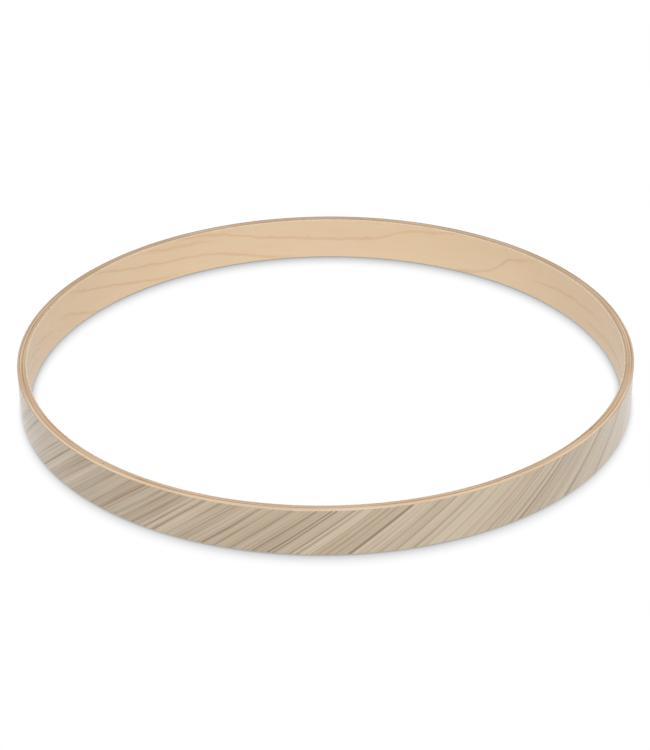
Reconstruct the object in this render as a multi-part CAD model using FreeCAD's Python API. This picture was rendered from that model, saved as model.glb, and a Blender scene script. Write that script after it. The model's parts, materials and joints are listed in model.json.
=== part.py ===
"""Bass drum hoop for a 22 inch drum: seven maple plies bent into a ring, wrapped outside in film.

Millimetres, +Z up. The origin is on the ring's axis, in the plane of its lower edge.
Angles are in degrees about that axis, from +X, counterclockwise seen from above.
"""

import FreeCAD, Part
import math
import os

OUTER_RADIUS = 293.5
HEIGHT = 44.0
EDGE_ROUND = 0.5  # radius of the four corners of the ring's section
FILM = 0.5  # thickness of the wrap
# Innermost ply first: its thickness, and the angle where its two ends meet in a butt joint.
# Odd plies have their grain round the ring, and even plies have it upright.
PLIES = {
    "ply_1_inner_face": (1.0, -155.0),
    "ply_2_cross": (1.7, -35.0),
    "ply_3_long": (0.9, 82.0),
    "ply_4_cross": (1.2, -132.0),
    "ply_5_long": (1.7, 28.0),
    "ply_6_cross": (1.0, 152.0),
    "ply_7_outer": (1.0, 60.0),
}
JOINT_GAP = 0.2
WOOD_RADIUS = OUTER_RADIUS - FILM
INNER_RADIUS = WOOD_RADIUS - sum(thickness for thickness, joint in PLIES.values())

# The film goes once round the ring, then its end climbs onto its start and laps over it.
FILM_START = 145.0
CLIMB_LENGTH = 3.0
LAP_LENGTH = 12.0
LAP_GLUE = 0.05

CENTRE = FreeCAD.Vector(0, 0, 0)
UP = FreeCAD.Vector(0, 0, 1)


def angle_of(length, radius):
    """The angle that a length along a circle of this radius takes."""
    return math.degrees(length / radius)


def upper_edge(radius):
    """Height of the ring's upper edge at this radius, on the flat or on a rounded corner."""
    from_wall = min(radius - INNER_RADIUS, OUTER_RADIUS - radius, EDGE_ROUND)
    return HEIGHT - EDGE_ROUND + math.sqrt(max(from_wall, 0) * (2 * EDGE_ROUND - from_wall))


def edge_points(start, end, upper):
    """Start, middle and end of a stretch of the ring's upper or lower edge, in the XZ plane."""
    points = []
    for radius in (start, (start + end) / 2, end):
        height = upper_edge(radius)
        points.append(FreeCAD.Vector(radius, 0, height if upper else HEIGHT - height))
    return points


def edge_run(inner, outer, upper):
    """The ring's upper or lower edge between two radii: a line on the flat, arcs on the corners."""
    corners = (INNER_RADIUS + EDGE_ROUND, OUTER_RADIUS - EDGE_ROUND)
    stops = [inner, *(radius for radius in corners if inner < radius < outer), outer]
    run = []
    for start, end in zip(stops, stops[1:]):
        first, middle, last = edge_points(start, end, upper)
        flat = first.z == middle.z == last.z
        run.append(Part.LineSegment(first, last) if flat else Part.Arc(first, middle, last))
    return [curve.toShape() for curve in run]


def upright(radius):
    """The straight side of a strip's section at this radius."""
    low, high = edge_points(radius, radius, False)[0], edge_points(radius, radius, True)[0]
    return Part.LineSegment(low, high).toShape()


def strip(inner, outer, start, sweep):
    """A strip of the ring's wall between two radii, bent round the axis from a start angle."""
    outline = edge_run(inner, outer, False) + [upright(outer)]
    outline += edge_run(inner, outer, True) + [upright(inner)]
    section = Part.Face(Part.Wire(Part.__sortEdges__(outline)))
    section.rotate(CENTRE, UP, start)
    return section.revolve(CENTRE, UP, sweep)


def in_plan(radius, angle):
    """A point at this radius and angle, at the height where the lower corners end."""
    turn = math.radians(angle)
    return FreeCAD.Vector(radius * math.cos(turn), radius * math.sin(turn), EDGE_ROUND)


def plan_arc(radius, start, end):
    """An arc about the axis, in plan."""
    points = [in_plan(radius, angle) for angle in (start, (start + end) / 2, end)]
    return Part.Arc(*points).toShape()


def film_lap():
    """The last stretch of the film: it climbs onto the film's start, then follows it."""
    leaves = FILM_START - angle_of(CLIMB_LENGTH, WOOD_RADIUS)
    ends = FILM_START + angle_of(LAP_LENGTH, OUTER_RADIUS)
    lap_inside = OUTER_RADIUS + LAP_GLUE
    lap_outside = lap_inside + FILM
    outline = [
        Part.LineSegment(in_plan(OUTER_RADIUS, leaves), in_plan(WOOD_RADIUS, leaves)).toShape(),
        Part.LineSegment(in_plan(WOOD_RADIUS, leaves), in_plan(lap_inside, FILM_START)).toShape(),
        plan_arc(lap_inside, FILM_START, ends),
        Part.LineSegment(in_plan(lap_inside, ends), in_plan(lap_outside, ends)).toShape(),
        plan_arc(lap_outside, ends, FILM_START),
        Part.LineSegment(in_plan(lap_outside, FILM_START), in_plan(OUTER_RADIUS, leaves)).toShape(),
    ]
    return Part.Face(Part.Wire(outline)).extrude(UP * (HEIGHT - 2 * EDGE_ROUND))


def make_plies():
    """Every ply by name, from the innermost out."""
    made = {}
    inner = INNER_RADIUS
    for name, (thickness, joint) in PLIES.items():
        outer = inner + thickness
        gap = angle_of(JOINT_GAP, outer)
        made[name] = strip(inner, outer, joint + gap / 2, 360 - gap)
        inner = outer
    return made


def make_film():
    """The wrap: one turn on the outermost ply, and the lap that closes it."""
    turn = strip(WOOD_RADIUS, OUTER_RADIUS, FILM_START, 360 - angle_of(CLIMB_LENGTH, WOOD_RADIUS))
    return turn.fuse(film_lap()).removeSplitter()


parts = {**make_plies(), "finish_wrap": make_film()}
os.makedirs("parts", exist_ok=True)
for node, shape in parts.items():
    shape.exportStep(f"parts/{node}.step")
    solids = len(shape.Solids)
    print(f"{node}: {solids} solid, valid {shape.isValid()}, {shape.Volume:.0f} mm3")
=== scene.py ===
"""Looks of the bass drum hoop: seven bent maple plies and a printed wrap, standing on a pale floor.

Metres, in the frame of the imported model: +Z up, and the origin under the middle of the ring. Angles are
in degrees about the ring's axis, from +X, counterclockwise seen from above. The camera is at -Y.
"""

import json
import math
import random
from functools import partial

import bpy
from mathutils import Matrix, Vector


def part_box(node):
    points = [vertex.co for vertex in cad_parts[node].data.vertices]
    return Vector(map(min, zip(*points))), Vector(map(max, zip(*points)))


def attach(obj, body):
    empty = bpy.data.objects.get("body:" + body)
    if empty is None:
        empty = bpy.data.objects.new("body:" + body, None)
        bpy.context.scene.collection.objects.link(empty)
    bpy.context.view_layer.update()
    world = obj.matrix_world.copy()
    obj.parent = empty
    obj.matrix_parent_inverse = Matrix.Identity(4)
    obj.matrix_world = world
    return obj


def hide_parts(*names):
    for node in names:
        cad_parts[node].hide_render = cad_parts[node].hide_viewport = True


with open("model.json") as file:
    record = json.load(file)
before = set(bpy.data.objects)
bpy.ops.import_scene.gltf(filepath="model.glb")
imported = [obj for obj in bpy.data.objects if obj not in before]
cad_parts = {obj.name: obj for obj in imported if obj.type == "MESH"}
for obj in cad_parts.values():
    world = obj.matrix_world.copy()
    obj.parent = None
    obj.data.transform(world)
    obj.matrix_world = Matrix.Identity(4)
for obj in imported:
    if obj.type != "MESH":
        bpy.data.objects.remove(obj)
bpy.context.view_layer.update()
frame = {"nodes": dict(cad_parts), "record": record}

FRONT = 270.0
BACK = 90.0

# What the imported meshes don't say about the ring: its corners, its joints and the wrap.
EDGE_ROUND = 0.0005
FILM = 0.0005
JOINT_GAP = 0.0002
PLY_JOINTS = (-155.0, -35.0, 82.0, -132.0, 28.0, 152.0, 60.0)  # innermost ply first
FILM_START = 145.0
CLIMB_LENGTH = 0.003
LAP_LENGTH = 0.012
LAP_GLUE = 0.00005

# How finely the meshes are made.
TURN_STEPS = 900
CORNER_STEPS = 8
LAP_STEPS = 12
WALL_ROWS = (0.02, 0.98)  # rows close to a wall's ends, which keep its shading straight
END_ROWS = (0.0, 0.0002, 0.0005, 0.001, 0.002)  # stations near a ply's two ends
SHARP_ANGLE = 30.0  # an edge shows between faces that meet at more than this

# Each boundary between two plies wanders in waves of this height, which go round the ring these many
# times.
PLY_WANDER = 0.00005
WANDER_WAVES = (2, 5, 11, 23)

# How dark each ply's edge is at these degrees from the front, from the second ply out: partly each
# ply's own tone and partly painted shade and highlight, which stand in for the light on a rounded top
# edge and make the outer plies paler in front. Waves round the ring make that uneven, each by this
# much, and every ply's waves come from a seed of its own.
EDGE_TONE_AND_SHADING_ANGLES = (32.0, 60.0, 86.0)
EDGE_TONES_AND_SHADING = (
    (0.64, 0.6, 0.62),
    (0.48, 0.9, 0.56),
    (0.74, 0.4, 0.78),
    (0.46, 1.1, 0.4),
    (0.2, 0.0, 0.95),
    (0.37, 0.34, 0.48),
)
EDGE_UNEVENNESS = 0.08
EDGE_WAVES = (1, 3, 7, 16)
EDGE_SEED = 50

# Dark flecks in the plies' edges: which ply, counted from 0, degrees from the front, and size in degrees.
EDGE_FLECKS = ((3, -33.3, 0.8), (3, 22.0, 0.5), (2, 55.0, 0.6))
FLECK_TONE = 0.9

# The wrap's printed streaks rise to the right, seen from outside. The print is a little darker on
# one side of the ring, round its darkest place, and as much paler on the opposite side.
STREAK_ANGLE = 38.5
PRINT_DARKEST = 200.0
PRINT_UNEVENNESS = 0.17

# The inner face's grain, in degrees round the ring from the front and millimetres of height.
# Every line is the same drifting curve, cut off at its own two ends and moved up by its own level.
GRAIN_DRIFT = (
    (-15, -20), (10, -28), (35, -15), (60, 5), (85, 4), (107, 0), (121, -2), (134, -11), (144, -40),
    (153, -48), (160, -51), (174, -66), (184, -65), (207, -47), (218, -42), (234, -24), (248, -1),
    (260, 16), (280, 28), (300, 22), (325, 35), (345, 50),
)
GRAIN_LINES = (  # level, first degree, last degree
    (88, 150, 215), (80, 207, 221), (65, 189, 235), (48, 217, 243), (46, 131, 152), (25, 107, 129),
    (22, 237, 248), (8.5, 256, 262), (32, -15, 95), (50, -15, 40), (12, 50, 110), (60, -15, 20),
    (2, 262, 345), (-8, 265, 345), (-22, 290, 345),
)

# A large soft lamp above the camera and a little to its right, in an even pale room.
LAMP_PLACE = (0.12, -2.0, 3.46)
LAMP_SIZE = (2.4, 1.6)
LAMP_POWER = 102.0
ROOM_STRENGTH = 0.5

# The floor that is seen is a little brighter than white. Walls as high as half its width stand at
# its edge. The floor that gives light is smaller, and lies a little below it.
FLOOR_BRIGHTNESS = 1.01
FLOOR_HALF = 8.0
LIGHT_FLOOR_HALF = 7.5
LIGHT_FLOOR_HEIGHT = -0.002

# How far the floor's shade reaches from the hoop: at the ring's two sides, how much further at its
# front and back, and how much further inside it. The shade fades out by a power of its nearness.
SHADE_REACH = 0.0025
SHADE_REACH_FRONT = 0.0225
SHADE_REACH_INSIDE = 0.0085
SHADE_POWER = 1.85
SHADE_STRENGTH = 1.76
SHADE_DARKEST = 0.67

# A tighter shade lies where the hoop touches the floor, and is a little darker inside the ring.
CONTACT_REACH = 0.003
CONTACT_STRENGTH = 0.42
CONTACT_INSIDE = 0.08

# The camera stands where the photograph's did, and looks almost at the middle of the ring.
CAMERA_LENS = 96.5
CAMERA_SENSOR = 36.0
CAMERA_DISTANCE = 1.940
CAMERA_ELEVATION = 28.82
CAMERA_TILT = 0.308
CAMERA_PAN = -0.019
CAMERA_ROLL = 0.602


def radii(node):
    """The least and the greatest distance of a CAD node's vertices from the ring's axis."""
    distances = [math.hypot(vertex.co.x, vertex.co.y) for vertex in frame["nodes"][node].data.vertices]
    return min(distances), max(distances)


PLIES = sorted((node for node in frame["nodes"] if node.startswith("ply_")), key=radii)
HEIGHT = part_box(PLIES[0])[1].z
INNER_RADIUS = radii(PLIES[0])[0]
WOOD_RADIUS = radii(PLIES[-1])[1]
OUTER_RADIUS = WOOD_RADIUS + FILM
BOUNDARIES = [radii(ply)[0] for ply in PLIES] + [WOOD_RADIUS]


# Meshes


def angle_of(length, radius):
    """The angle that a length along a circle of this radius takes."""
    return math.degrees(length / radius)


def upper_edge(radius):
    """Height of the ring's upper edge at this radius, on the flat or on a rounded corner."""
    from_wall = min(radius - INNER_RADIUS, OUTER_RADIUS - radius, EDGE_ROUND)
    return HEIGHT - EDGE_ROUND + math.sqrt(max(from_wall, 0) * (2 * EDGE_ROUND - from_wall))


def edge_shares(inner, outer):
    """Where an edge's points are, as shares of the way from its inner to its outer radius.

    They are its two ends, and the points of the ring's corners that aren't too close to them.
    """
    turns = [math.radians(90) * step / CORNER_STEPS for step in range(CORNER_STEPS + 1)]
    depths = [EDGE_ROUND * (1 - math.cos(turn)) for turn in turns]
    corners = [INNER_RADIUS + depth for depth in depths]
    corners += [OUTER_RADIUS - depth for depth in reversed(depths)]
    shares = [(radius - inner) / (outer - inner) for radius in corners]
    return [0.0, *(share for share in shares if 0.01 < share < 0.99), 1.0]


def outline(inner, outer, shares):
    """A strip's section: (radius, height, share of its thickness), counterclockwise from low inside."""
    edge = [(inner + share * (outer - inner), share) for share in shares]
    lower = [(radius, HEIGHT - upper_edge(radius), share) for radius, share in edge]
    upper = [(radius, upper_edge(radius), share) for radius, share in reversed(edge)]
    outer_wall = [(outer, wall_height(outer, row), 1.0) for row in WALL_ROWS]
    inner_wall = [(inner, wall_height(inner, row), 0.0) for row in reversed(WALL_ROWS)]
    return lower + outer_wall + upper + inner_wall


def wall_height(radius, row):
    """The height at a share of the way up the wall at this radius."""
    top = upper_edge(radius)
    return (HEIGHT - top) * (1 - row) + top * row


def make_strip(name, stations, shares, zero, material, tone_and_shading):
    """A strip of the wall as a mesh, swept through stations of (angle, inner radius, outer radius).

    It carries four attributes for its material: along, the distance round the ring from the angle
    zero; across, from 0 on its inside to 1 on its outside; from_end, how far its nearer end is; and
    the last, how dark it is there, which the given function gives for an angle; on the plies that
    darkness holds painted shade and highlight as well as their own tone.
    """
    points, along, across, from_end, tones_and_shading = [], [], [], [], []
    first, last = stations[0][0], stations[-1][0]
    for angle, inner, outer in stations:
        turn = math.radians(angle)
        for radius, height, share in outline(inner, outer, shares):
            points.append((radius * math.cos(turn), radius * math.sin(turn), height))
            along.append(math.radians(angle - zero) * OUTER_RADIUS)
            across.append(share)
            from_end.append(math.radians(min(angle - first, last - angle)) * OUTER_RADIUS)
            tones_and_shading.append(tone_and_shading(angle))
    count = len(points) // len(stations)
    faces = [tuple(range(count))]
    for station in range(len(stations) - 1):
        here, there = station * count, (station + 1) * count
        for corner in range(count):
            after = (corner + 1) % count
            faces.append((here + corner, there + corner, there + after, here + after))
    faces.append(tuple(reversed(range(len(points) - count, len(points)))))
    mesh = bpy.data.meshes.new(name)
    mesh.from_pydata(points, [], faces)
    attributes = {"along": along, "across": across, "from_end": from_end, "tone_and_shading": tones_and_shading}
    for attribute, values in attributes.items():
        mesh.attributes.new(attribute, "FLOAT", "POINT").data.foreach_set("value", values)
    mesh.shade_smooth()
    mesh.set_sharp_from_angle(angle=math.radians(SHARP_ANGLE))
    mesh.materials.append(material)
    piece = bpy.data.objects.new(name, mesh)
    bpy.context.scene.collection.objects.link(piece)
    return piece


# Materials


def srgb(red, green, blue):
    """A colour given as 0 to 255 on a screen, as the linear colour that a shader takes."""
    shares = [value / 255 for value in (red, green, blue)]
    return (*(s / 12.92 if s <= 0.04045 else ((s + 0.055) / 1.055) ** 2.4 for s in shares), 1.0)


class Look:
    """A material being put together. Each method adds a node and gives back what it puts out."""

    def __init__(self, name):
        self.material = bpy.data.materials.new(name)
        self.material.use_nodes = True
        self.tree = self.material.node_tree
        self.shader = self.tree.nodes["Principled BSDF"]

    def feed(self, socket, value):
        """Gives a socket a value, or the output of another node."""
        if isinstance(value, bpy.types.NodeSocket):
            self.tree.links.new(value, socket)
        else:
            socket.default_value = value

    def add(self, kind, inputs, **settings):
        """A node of this kind with these inputs, by name or place, and these settings."""
        node = self.tree.nodes.new("ShaderNode" + kind)
        for setting, value in settings.items():
            setattr(node, setting, value)
        for socket, value in inputs.items():
            self.feed(node.inputs[socket], value)
        return node

    def finish(self, **inputs):
        """Sets the shader's own inputs, whose spaces are written here as underscores."""
        for name, value in inputs.items():
            self.feed(self.shader.inputs[name.replace("_", " ")], value)
        return self.material

    def math(self, operation, *values):
        """The result of a Math node on these values, each a number or what another node puts out."""
        return self.add("Math", dict(enumerate(values)), operation=operation).outputs[0]

    def total(self, first, *others):
        """The sum of these values."""
        for other in others:
            first = self.math("ADD", first, other)
        return first

    def times(self, first, *others):
        """The product of these values."""
        for other in others:
            first = self.math("MULTIPLY", first, other)
        return first

    def weighted(self, *pairs):
        """The sum of values that each have a weight, given as pairs."""
        return self.total(*(self.times(value, weight) for value, weight in pairs))

    def attribute(self, name):
        """One of the four values that make_strip gives every point of a mesh."""
        return self.add("Attribute", {}, attribute_name=name).outputs["Fac"]

    def height(self):
        """Height above the plane that the ring stands on."""
        point = self.add("TexCoord", {}).outputs["Object"]
        return self.add("SeparateXYZ", {0: point}).outputs["Z"]

    def from_edge(self):
        """How far below the ring's upper edge, or above its lower one, whichever is nearer."""
        height = self.height()
        return self.math("MINIMUM", height, self.math("SUBTRACT", HEIGHT, height))

    def noise(self, x, y, x_size, y_size, seed, detail=2.0):
        """Noise about 0, from about -0.5 to 0.5, whose features have these sizes in metres."""
        point = self.add("CombineXYZ", {0: self.times(x, 1 / x_size), 1: self.times(y, 1 / y_size), 2: seed})
        inputs = {"Vector": point.outputs[0], "Scale": 1.0, "Detail": detail, "Roughness": 0.5}
        return self.total(self.add("TexNoise", inputs).outputs[0], -0.5)

    def rows(self, x, pitch, seed):
        """Lines at uneven places along x: how far past its nearest one x is, and two chances of its own."""
        scaled = self.total(self.times(x, 1 / pitch), seed)
        cells = self.add("TexVoronoi", {"W": scaled, "Scale": 1.0}, voronoi_dimensions="1D")
        chances = self.add("SeparateColor", {0: cells.outputs["Color"]})
        past = self.times(self.math("SUBTRACT", scaled, cells.outputs["W"]), pitch)
        return past, chances.outputs[0], chances.outputs[1]

    def bands(self, x, pitch, softness, seed):
        """Bands of uneven width along x, each with its own value from 0 to 1, and soft edges."""
        inputs = {"W": self.total(self.times(x, 1 / pitch), seed), "Scale": 1.0, "Smoothness": softness}
        cells = self.add("TexVoronoi", inputs, voronoi_dimensions="1D", feature="SMOOTH_F1")
        return self.add("SeparateColor", {0: cells.outputs["Color"]}).outputs[0]

    def drift(self, x, points):
        """A smooth curve through given points of (x, y)."""
        (x_low, x_high), (y_low, y_high) = [(min(values), max(values)) for values in zip(*points)]
        share = self.times(self.total(x, -x_low), 1 / (x_high - x_low))
        node = self.add("FloatCurve", {"Value": share})
        curve = node.mapping.curves[0]
        while len(curve.points) < len(points):
            curve.points.new(0.5, 0.5)
        for point, (x_at, y_at) in zip(curve.points, points):
            point.location = ((x_at - x_low) / (x_high - x_low), (y_at - y_low) / (y_high - y_low))
        node.mapping.update()
        return self.total(self.times(node.outputs[0], y_high - y_low), y_low)

    def span(self, value, start, end, low=0.0, high=1.0):
        """Runs smoothly from low to high as the value goes from start to end, and stays there."""
        inputs = {0: value, 1: start, 2: end, 3: low, 4: high}
        return self.add("MapRange", inputs, interpolation_type="SMOOTHSTEP").outputs[0]

    def mix(self, share, first, second):
        """The first colour, changed to the second by this share."""
        inputs = {0: share, 6: first, 7: second}
        return self.add("Mix", inputs, data_type="RGBA").outputs[2]

    def nearness(self, reach):
        """From 0 where nothing is within reach of the surface, up to 1 where it is covered."""
        occlusion = self.add("AmbientOcclusion", {"Distance": reach}, samples=16)
        return self.math("SUBTRACT", 1.0, occlusion.outputs["AO"])

    def bump(self, height):
        """Shading of a surface whose height, in metres, varies like this."""
        return self.add("Bump", {"Height": height, "Distance": 1.0}).outputs[0]


def maple_face():
    """The inside of the hoop: rotary cut maple, whose faint growth lines wander up and down it.

    A painted highlight makes it paler along its upper and lower edges.
    """
    look = Look("maple_face")
    along, height = look.attribute("along"), look.height()
    degrees = look.total(look.times(along, math.degrees(1 / OUTER_RADIUS)), 180.0)
    ripple = look.noise(along, height, 0.022, 0.012, seed=4.0, detail=4.0)
    level = look.math("SUBTRACT", look.times(height, 1000.0), look.drift(degrees, GRAIN_DRIFT))
    level = look.total(level, look.times(ripple, 8.0))
    lines = 0.0
    for line_level, first, last in GRAIN_LINES:
        apart = look.math("ABSOLUTE", look.total(level, -line_level))
        begun = look.span(degrees, first - 6, first + 4)
        not_over = look.span(degrees, last + 6, last - 4)
        lines = look.total(lines, look.times(begun, not_over, look.span(apart, 2.8, 0.0)))
    past, _, strength = look.rows(look.times(level, 0.001), 0.007, seed=2.7)
    faint = look.times(look.span(look.math("ABSOLUTE", past), 0.0012, 0.0), strength)
    clouds = look.noise(along, height, 0.09, 0.02, seed=3.0, detail=3.0)
    fibres = look.noise(along, height, 0.018, 0.0005, seed=6.0)
    flecks = look.span(look.noise(along, height, 0.004, 0.0006, seed=7.0, detail=1.0), 0.2, 0.34)
    dark = look.weighted((lines, 0.62), (faint, 0.16), (clouds, 0.55), (fibres, 0.35), (flecks, 0.16))
    colour = look.mix(look.total(dark, 0.26), srgb(222, 197, 164), srgb(211, 176, 138))
    # Painted highlight: paler within 0.6 mm of the face's upper and lower edges, where its corners would
    # catch the light.
    edge = look.span(look.from_edge(), 0.0006, 0.0002, 0.0, 0.6)
    colour = look.mix(edge, colour, srgb(234, 214, 190))
    rough = look.total(look.times(fibres, 0.12), 0.42)
    return look.finish(Base_Color=colour, Roughness=rough, Normal=look.bump(look.times(fibres, 0.00002)))


def ply_edge(name, pale, dark, seed):
    """The sanded edge of a ply, darker along its glue lines and at its ends."""
    look = Look(name)
    along, across = look.attribute("along"), look.attribute("across")
    ticks = look.noise(along, across, 0.0012, 0.5, seed=seed)
    grain = look.noise(along, across, 0.02, 0.22, seed=seed + 1)
    glue = look.span(look.math("ABSOLUTE", look.total(across, -0.5)), 0.44, 0.5)
    end = look.span(look.attribute("from_end"), 0.0009, 0.0)
    # The strip's darkness brings painted shade and highlight along with the ply's own tone.
    tone_and_shading = look.total(look.attribute("tone_and_shading"), look.weighted((ticks, 0.35), (grain, 0.5)))
    stain = look.weighted((glue, 0.25), (end, 0.7))
    colour = look.mix(stain, look.mix(tone_and_shading, pale, dark), srgb(112, 82, 56))
    rough = look.total(look.times(ticks, 0.15), 0.52)
    return look.finish(Base_Color=colour, Roughness=rough, Normal=look.bump(look.times(ticks, 0.00003)))


def printed_lines(look, side, length, pitch, narrow, wide, seed):
    """How dark the lines printed along the streaks are, and each line's own hue from 0 to 1.

    A line is sharp on one side, trails off on the other, and fades along its length.
    """
    past, chance, strength = look.rows(side, pitch, seed)
    width = look.total(look.times(chance, wide - narrow), narrow)
    core = look.span(look.math("DIVIDE", look.math("ABSOLUTE", past), width), 1.0, 0.0)
    behind = look.times(look.span(past, 0.0, 0.0003), look.span(past, pitch * 0.45, 0.0))
    fading = look.noise(length, look.times(chance, 40.0), 0.09, 1.0, seed=seed)
    fading = look.span(fading, -0.3, 0.15, 0.25, 1.0)
    return look.times(look.total(core, look.times(behind, 0.55)), strength, fading), chance


def wrap_film():
    """The printed wrap: grey-beige bands and slanting brown lines, under a clear glossy face."""
    look = Look("wrap_film")
    along, height = look.attribute("along"), look.height()
    slant = math.radians(STREAK_ANGLE)
    length = look.total(look.times(along, math.cos(slant)), look.times(height, math.sin(slant)))
    side = look.total(look.times(height, math.cos(slant)), look.times(along, -math.sin(slant)))
    sway = look.times(look.noise(length, side, 0.16, 0.03, seed=5.0, detail=1.0), 0.004)
    waver = look.times(look.noise(length, side, 0.03, 0.006, seed=8.0, detail=1.0), 0.0006)
    side = look.total(side, sway, waver)
    bands = look.bands(side, 0.011, softness=0.35, seed=3.1)
    bold, hue = printed_lines(look, side, length, 0.0062, narrow=0.0005, wide=0.0015, seed=11.3)
    fine, _ = printed_lines(look, side, length, 0.0025, narrow=0.0002, wide=0.0006, seed=23.9)
    fibres = look.noise(side, length, 0.0005, 0.07, seed=9.0)
    clouds = look.noise(side, length, 0.02, 0.12, seed=10.0)
    dark = look.weighted((bands, 0.38), (bold, 1.1), (fine, 0.7), (fibres, 0.5), (clouds, 0.4))
    dark = look.total(dark, look.attribute("tone_and_shading"), -0.06)
    ink = look.mix(hue, srgb(144, 113, 77), srgb(136, 118, 92))
    colour = look.mix(dark, srgb(200, 183, 159), ink)
    rim = look.span(look.from_edge(), 0.0003, 0.0002)
    end = look.span(look.attribute("from_end"), 0.00002, 0.0)
    colour = look.mix(look.math("MAXIMUM", rim, end), colour, srgb(184, 164, 138))
    rough = look.total(look.times(fibres, 0.08), 0.42)
    normal = look.bump(look.times(fibres, 0.000006))
    return look.finish(
        Base_Color=colour, Roughness=rough, Normal=normal, Coat_Weight=0.5, Coat_Roughness=0.06)


# The hoop


def waves(angle, counts, seed):
    """The sum at this angle of waves that go round the ring these many times, from random starts."""
    draws = random.Random(seed)
    turn = math.radians(angle)
    return sum(math.sin(count * turn + draws.uniform(0, math.tau)) for count in counts)


def boundary(index, angle):
    """The radius between two plies at this angle: it wanders, but for the wood's own two walls."""
    if index in (0, len(PLIES)):
        return BOUNDARIES[index]
    return BOUNDARIES[index] + PLY_WANDER * waves(angle, WANDER_WAVES, index)


def ply_stations(index):
    """Where ply number index is swept through, from one end to the other."""
    start = PLY_JOINTS[index]
    start -= 360 * math.ceil((start - BACK) / 360)  # so that the back is within the sweep
    gap = angle_of(JOINT_GAP, BOUNDARIES[index + 1])
    first, last = start + gap / 2, start + 360 - gap / 2
    ends = [angle_of(row, OUTER_RADIUS) for row in END_ROWS]
    inside = (last - first - 2 * ends[-1]) / TURN_STEPS
    angles = [first + end for end in ends]
    angles += [first + ends[-1] + inside * step for step in range(1, TURN_STEPS)]
    angles += [last - end for end in reversed(ends)]
    return [(angle, boundary(index, angle), boundary(index + 1, angle)) for angle in angles]


def turn_between(angle, other):
    """The angle between two directions, from 0 to 180."""
    return abs((angle - other + 180) % 360 - 180)


def between(x, stops, values):
    """The value at x, on straight lines through these values at these stops, and level beyond them."""
    for start, end, first, last in zip(stops, stops[1:], values, values[1:]):
        if x < end:
            return first + (last - first) * max(x - start, 0) / (end - start)
    return values[-1]


def ply_tone_and_shading(index, angle):
    """How dark a ply's edge is at this angle, uneven round the ring; the first ply's edge is its face's.

    The angle from the front brings painted shade and highlight as well as the ply's own tone.
    """
    if index == 0:
        return 0.0
    # Painted shade and highlight by the angle from the front, on top of the ply's own tone.
    tone_and_shading = between(turn_between(angle, FRONT), EDGE_TONE_AND_SHADING_ANGLES, EDGE_TONES_AND_SHADING[index - 1])
    for ply, middle, size in EDGE_FLECKS:
        if ply == index:
            tone_and_shading += FLECK_TONE * max(1 - turn_between(angle, FRONT + middle) / size, 0)
    return tone_and_shading + EDGE_UNEVENNESS * waves(angle, EDGE_WAVES, EDGE_SEED + index)


def film_tone(angle):
    """How much darker the wrap's print is at this angle, or paler where this is below 0."""
    return PRINT_UNEVENNESS * math.cos(math.radians(angle - PRINT_DARKEST))


def film_stations():
    """Where the wrap is swept through: once round, up onto its own start, and along it."""
    leaves = FILM_START + 360 - angle_of(CLIMB_LENGTH, WOOD_RADIUS)
    lands = FILM_START + 360
    ends = lands + angle_of(LAP_LENGTH, OUTER_RADIUS)
    angles = [FILM_START + (leaves - FILM_START) * step / TURN_STEPS for step in range(TURN_STEPS)]
    angles += [leaves + (ends - leaves) * step / LAP_STEPS for step in range(LAP_STEPS + 1)]
    stations = []
    for angle in angles:
        climbed = min(max((angle - leaves) / (lands - leaves), 0), 1)
        inner = WOOD_RADIUS + climbed * (FILM + LAP_GLUE)
        stations.append((angle, inner, inner + FILM))
    return stations


SLOTS = {entry["node"]: entry["material_slot"] for entry in frame["record"]["subparts"]}
LOOKS = {
    "maple_face": maple_face(),
    "maple_long_grain": ply_edge("maple_long_grain", srgb(234, 210, 184), srgb(186, 152, 116), 20.0),
    "maple_cross_grain": ply_edge("maple_cross_grain", srgb(232, 208, 180), srgb(160, 126, 92), 30.0),
    "wrap_film": wrap_film(),
}


def stand_for(piece, node):
    """Puts a finished piece in a CAD node's stead."""
    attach(piece, "root")
    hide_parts(node)


def make_plies():
    """Every ply, from the innermost out."""
    for index, node in enumerate(PLIES):
        shares = edge_shares(BOUNDARIES[index], BOUNDARIES[index + 1])
        tone_and_shading = partial(ply_tone_and_shading, index)
        ply = make_strip("shown_" + node, ply_stations(index), shares, BACK, LOOKS[SLOTS[node]], tone_and_shading)
        stand_for(ply, node)


def make_film():
    """The wrap, round the outermost ply."""
    shares = edge_shares(WOOD_RADIUS, OUTER_RADIUS)
    film = make_strip("shown_finish_wrap", film_stations(), shares, FRONT, LOOKS["wrap_film"], film_tone)
    stand_for(film, "finish_wrap")


# Floor, light and camera


def floor_shade(look):
    """How much the floor dims close to what stands on it.

    The hoop's front and back shade the floor furthest, and its two sides hardly shade it. Inside the
    ring the shade reaches further than outside it.
    """
    point = look.add("TexCoord", {}).outputs["Object"]
    radius = look.add("VectorMath", {0: point}, operation="LENGTH").outputs["Value"]
    inside = look.math("LESS_THAN", radius, (INNER_RADIUS + OUTER_RADIUS) / 2)
    from_sides = look.math("ABSOLUTE", look.add("SeparateXYZ", {0: point}).outputs["Y"])
    front = look.math("DIVIDE", from_sides, radius)  # 1 at the front and back, 0 at the sides
    reach = look.weighted((front, SHADE_REACH_FRONT), (inside, SHADE_REACH_INSIDE))
    wide = look.math("POWER", look.nearness(look.total(reach, SHADE_REACH)), SHADE_POWER)
    outside_depth = look.math("SQRT", front)
    inside_depth = look.times(inside, look.total(look.times(front, 0.2), 0.92))
    wide = look.times(wide, SHADE_STRENGTH, look.math("MAXIMUM", outside_depth, inside_depth))
    contact_depth = look.times(look.math("MAXIMUM", front, 0.3), CONTACT_STRENGTH)
    contact_depth = look.total(contact_depth, look.times(inside, CONTACT_INSIDE))
    contact = look.times(look.nearness(CONTACT_REACH), contact_depth)
    return look.math("MINIMUM", look.total(wide, contact), SHADE_DARKEST)


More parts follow.
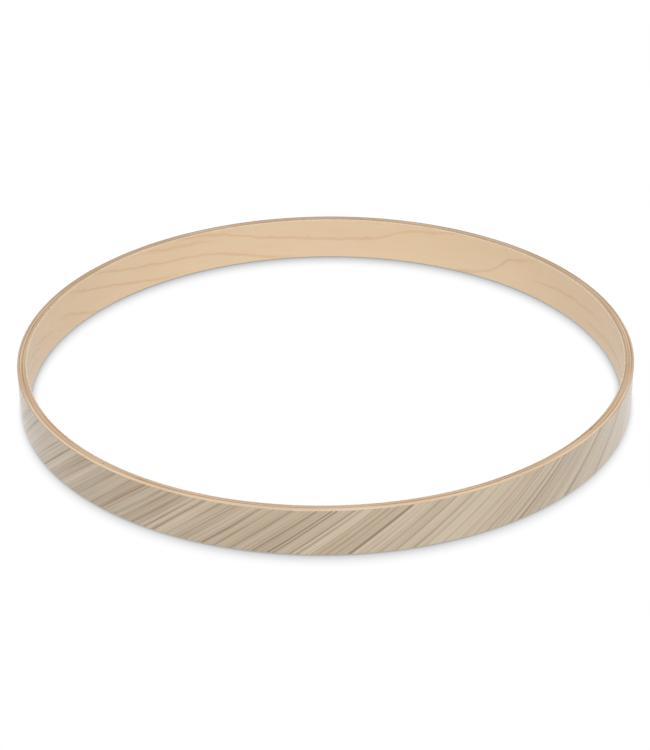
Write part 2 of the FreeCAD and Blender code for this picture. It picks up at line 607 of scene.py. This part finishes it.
def make_floor():
    """White floors: the one that is seen dims close to what stands on it, and one gives the light.

    The seen one has four walls far off, so that it has no horizon. The other lies just below it and
    lights the hoop evenly from below; the camera doesn't see it.
    """
    seen, lamp = [Look(name) for name in ("floor", "floor_light")]
    glow = seen.math("SUBTRACT", FLOOR_BRIGHTNESS, floor_shade(seen))
    corners = [(-1, -1), (1, -1), (1, 1), (-1, 1)]
    walls = [(side, (side + 1) % 4, (side + 1) % 4 + 4, side + 4) for side in range(4)]
    floors = (
        (seen, glow, FLOOR_HALF, (0.0, FLOOR_HALF), [(0, 1, 2, 3), *walls]),
        (lamp, (1.0, 1.0, 1.0, 1.0), LIGHT_FLOOR_HALF, (LIGHT_FLOOR_HEIGHT,), [(0, 1, 2, 3)]),
    )
    for look, colour, half, heights, faces in floors:
        emission = look.add("Emission", {"Color": colour})
        look.tree.links.new(emission.outputs[0], look.tree.nodes["Material Output"].inputs["Surface"])
        name = look.material.name
        mesh = bpy.data.meshes.new(name)
        points = [(half * x, half * y, height) for height in heights for x, y in corners]
        mesh.from_pydata(points, [], faces)
        mesh.materials.append(look.material)
        floor = bpy.data.objects.new(name, mesh)
        floor.visible_camera = look is seen
        floor.visible_diffuse = floor.visible_glossy = floor.visible_shadow = look is lamp
        bpy.context.scene.collection.objects.link(floor)


def make_light():
    """An even pale room, with one large soft lamp above the camera and a little to its right."""
    world = bpy.data.worlds.new("room")
    world.use_nodes = True
    background = world.node_tree.nodes["Background"]
    background.inputs["Color"].default_value = (1, 1, 1, 1)
    background.inputs["Strength"].default_value = ROOM_STRENGTH
    bpy.context.scene.world = world
    lamp = bpy.data.lights.new("softbox", "AREA")
    lamp.shape = "RECTANGLE"
    lamp.size, lamp.size_y = LAMP_SIZE
    lamp.energy = LAMP_POWER
    softbox = bpy.data.objects.new("softbox", lamp)
    softbox.location = LAMP_PLACE
    softbox.rotation_euler = (-softbox.location).to_track_quat("-Z", "Y").to_euler()
    bpy.context.scene.collection.objects.link(softbox)


def make_camera():
    """The camera, turned towards the ring's middle and then by its small tilt, pan and roll."""
    camera = bpy.data.cameras.new("camera")
    camera.lens = CAMERA_LENS
    camera.sensor_width = CAMERA_SENSOR
    holder = bpy.data.objects.new("camera", camera)
    elevation = math.radians(CAMERA_ELEVATION)
    offset = Vector((0, -math.cos(elevation), math.sin(elevation))) * CAMERA_DISTANCE
    turn = Matrix.Rotation(math.radians(90) - elevation, 4, "X")
    turn @= Matrix.Rotation(math.radians(-CAMERA_PAN), 4, "Y")
    turn @= Matrix.Rotation(math.radians(-CAMERA_TILT), 4, "X")
    turn @= Matrix.Rotation(math.radians(-CAMERA_ROLL), 4, "Z")
    holder.matrix_world = Matrix.Translation(Vector((0, 0, HEIGHT / 2)) + offset) @ turn
    bpy.context.scene.collection.objects.link(holder)
    bpy.context.scene.camera = holder


make_plies()
make_film()
make_floor()
make_light()
make_camera()
bpy.context.scene.view_settings.view_transform = "Standard"
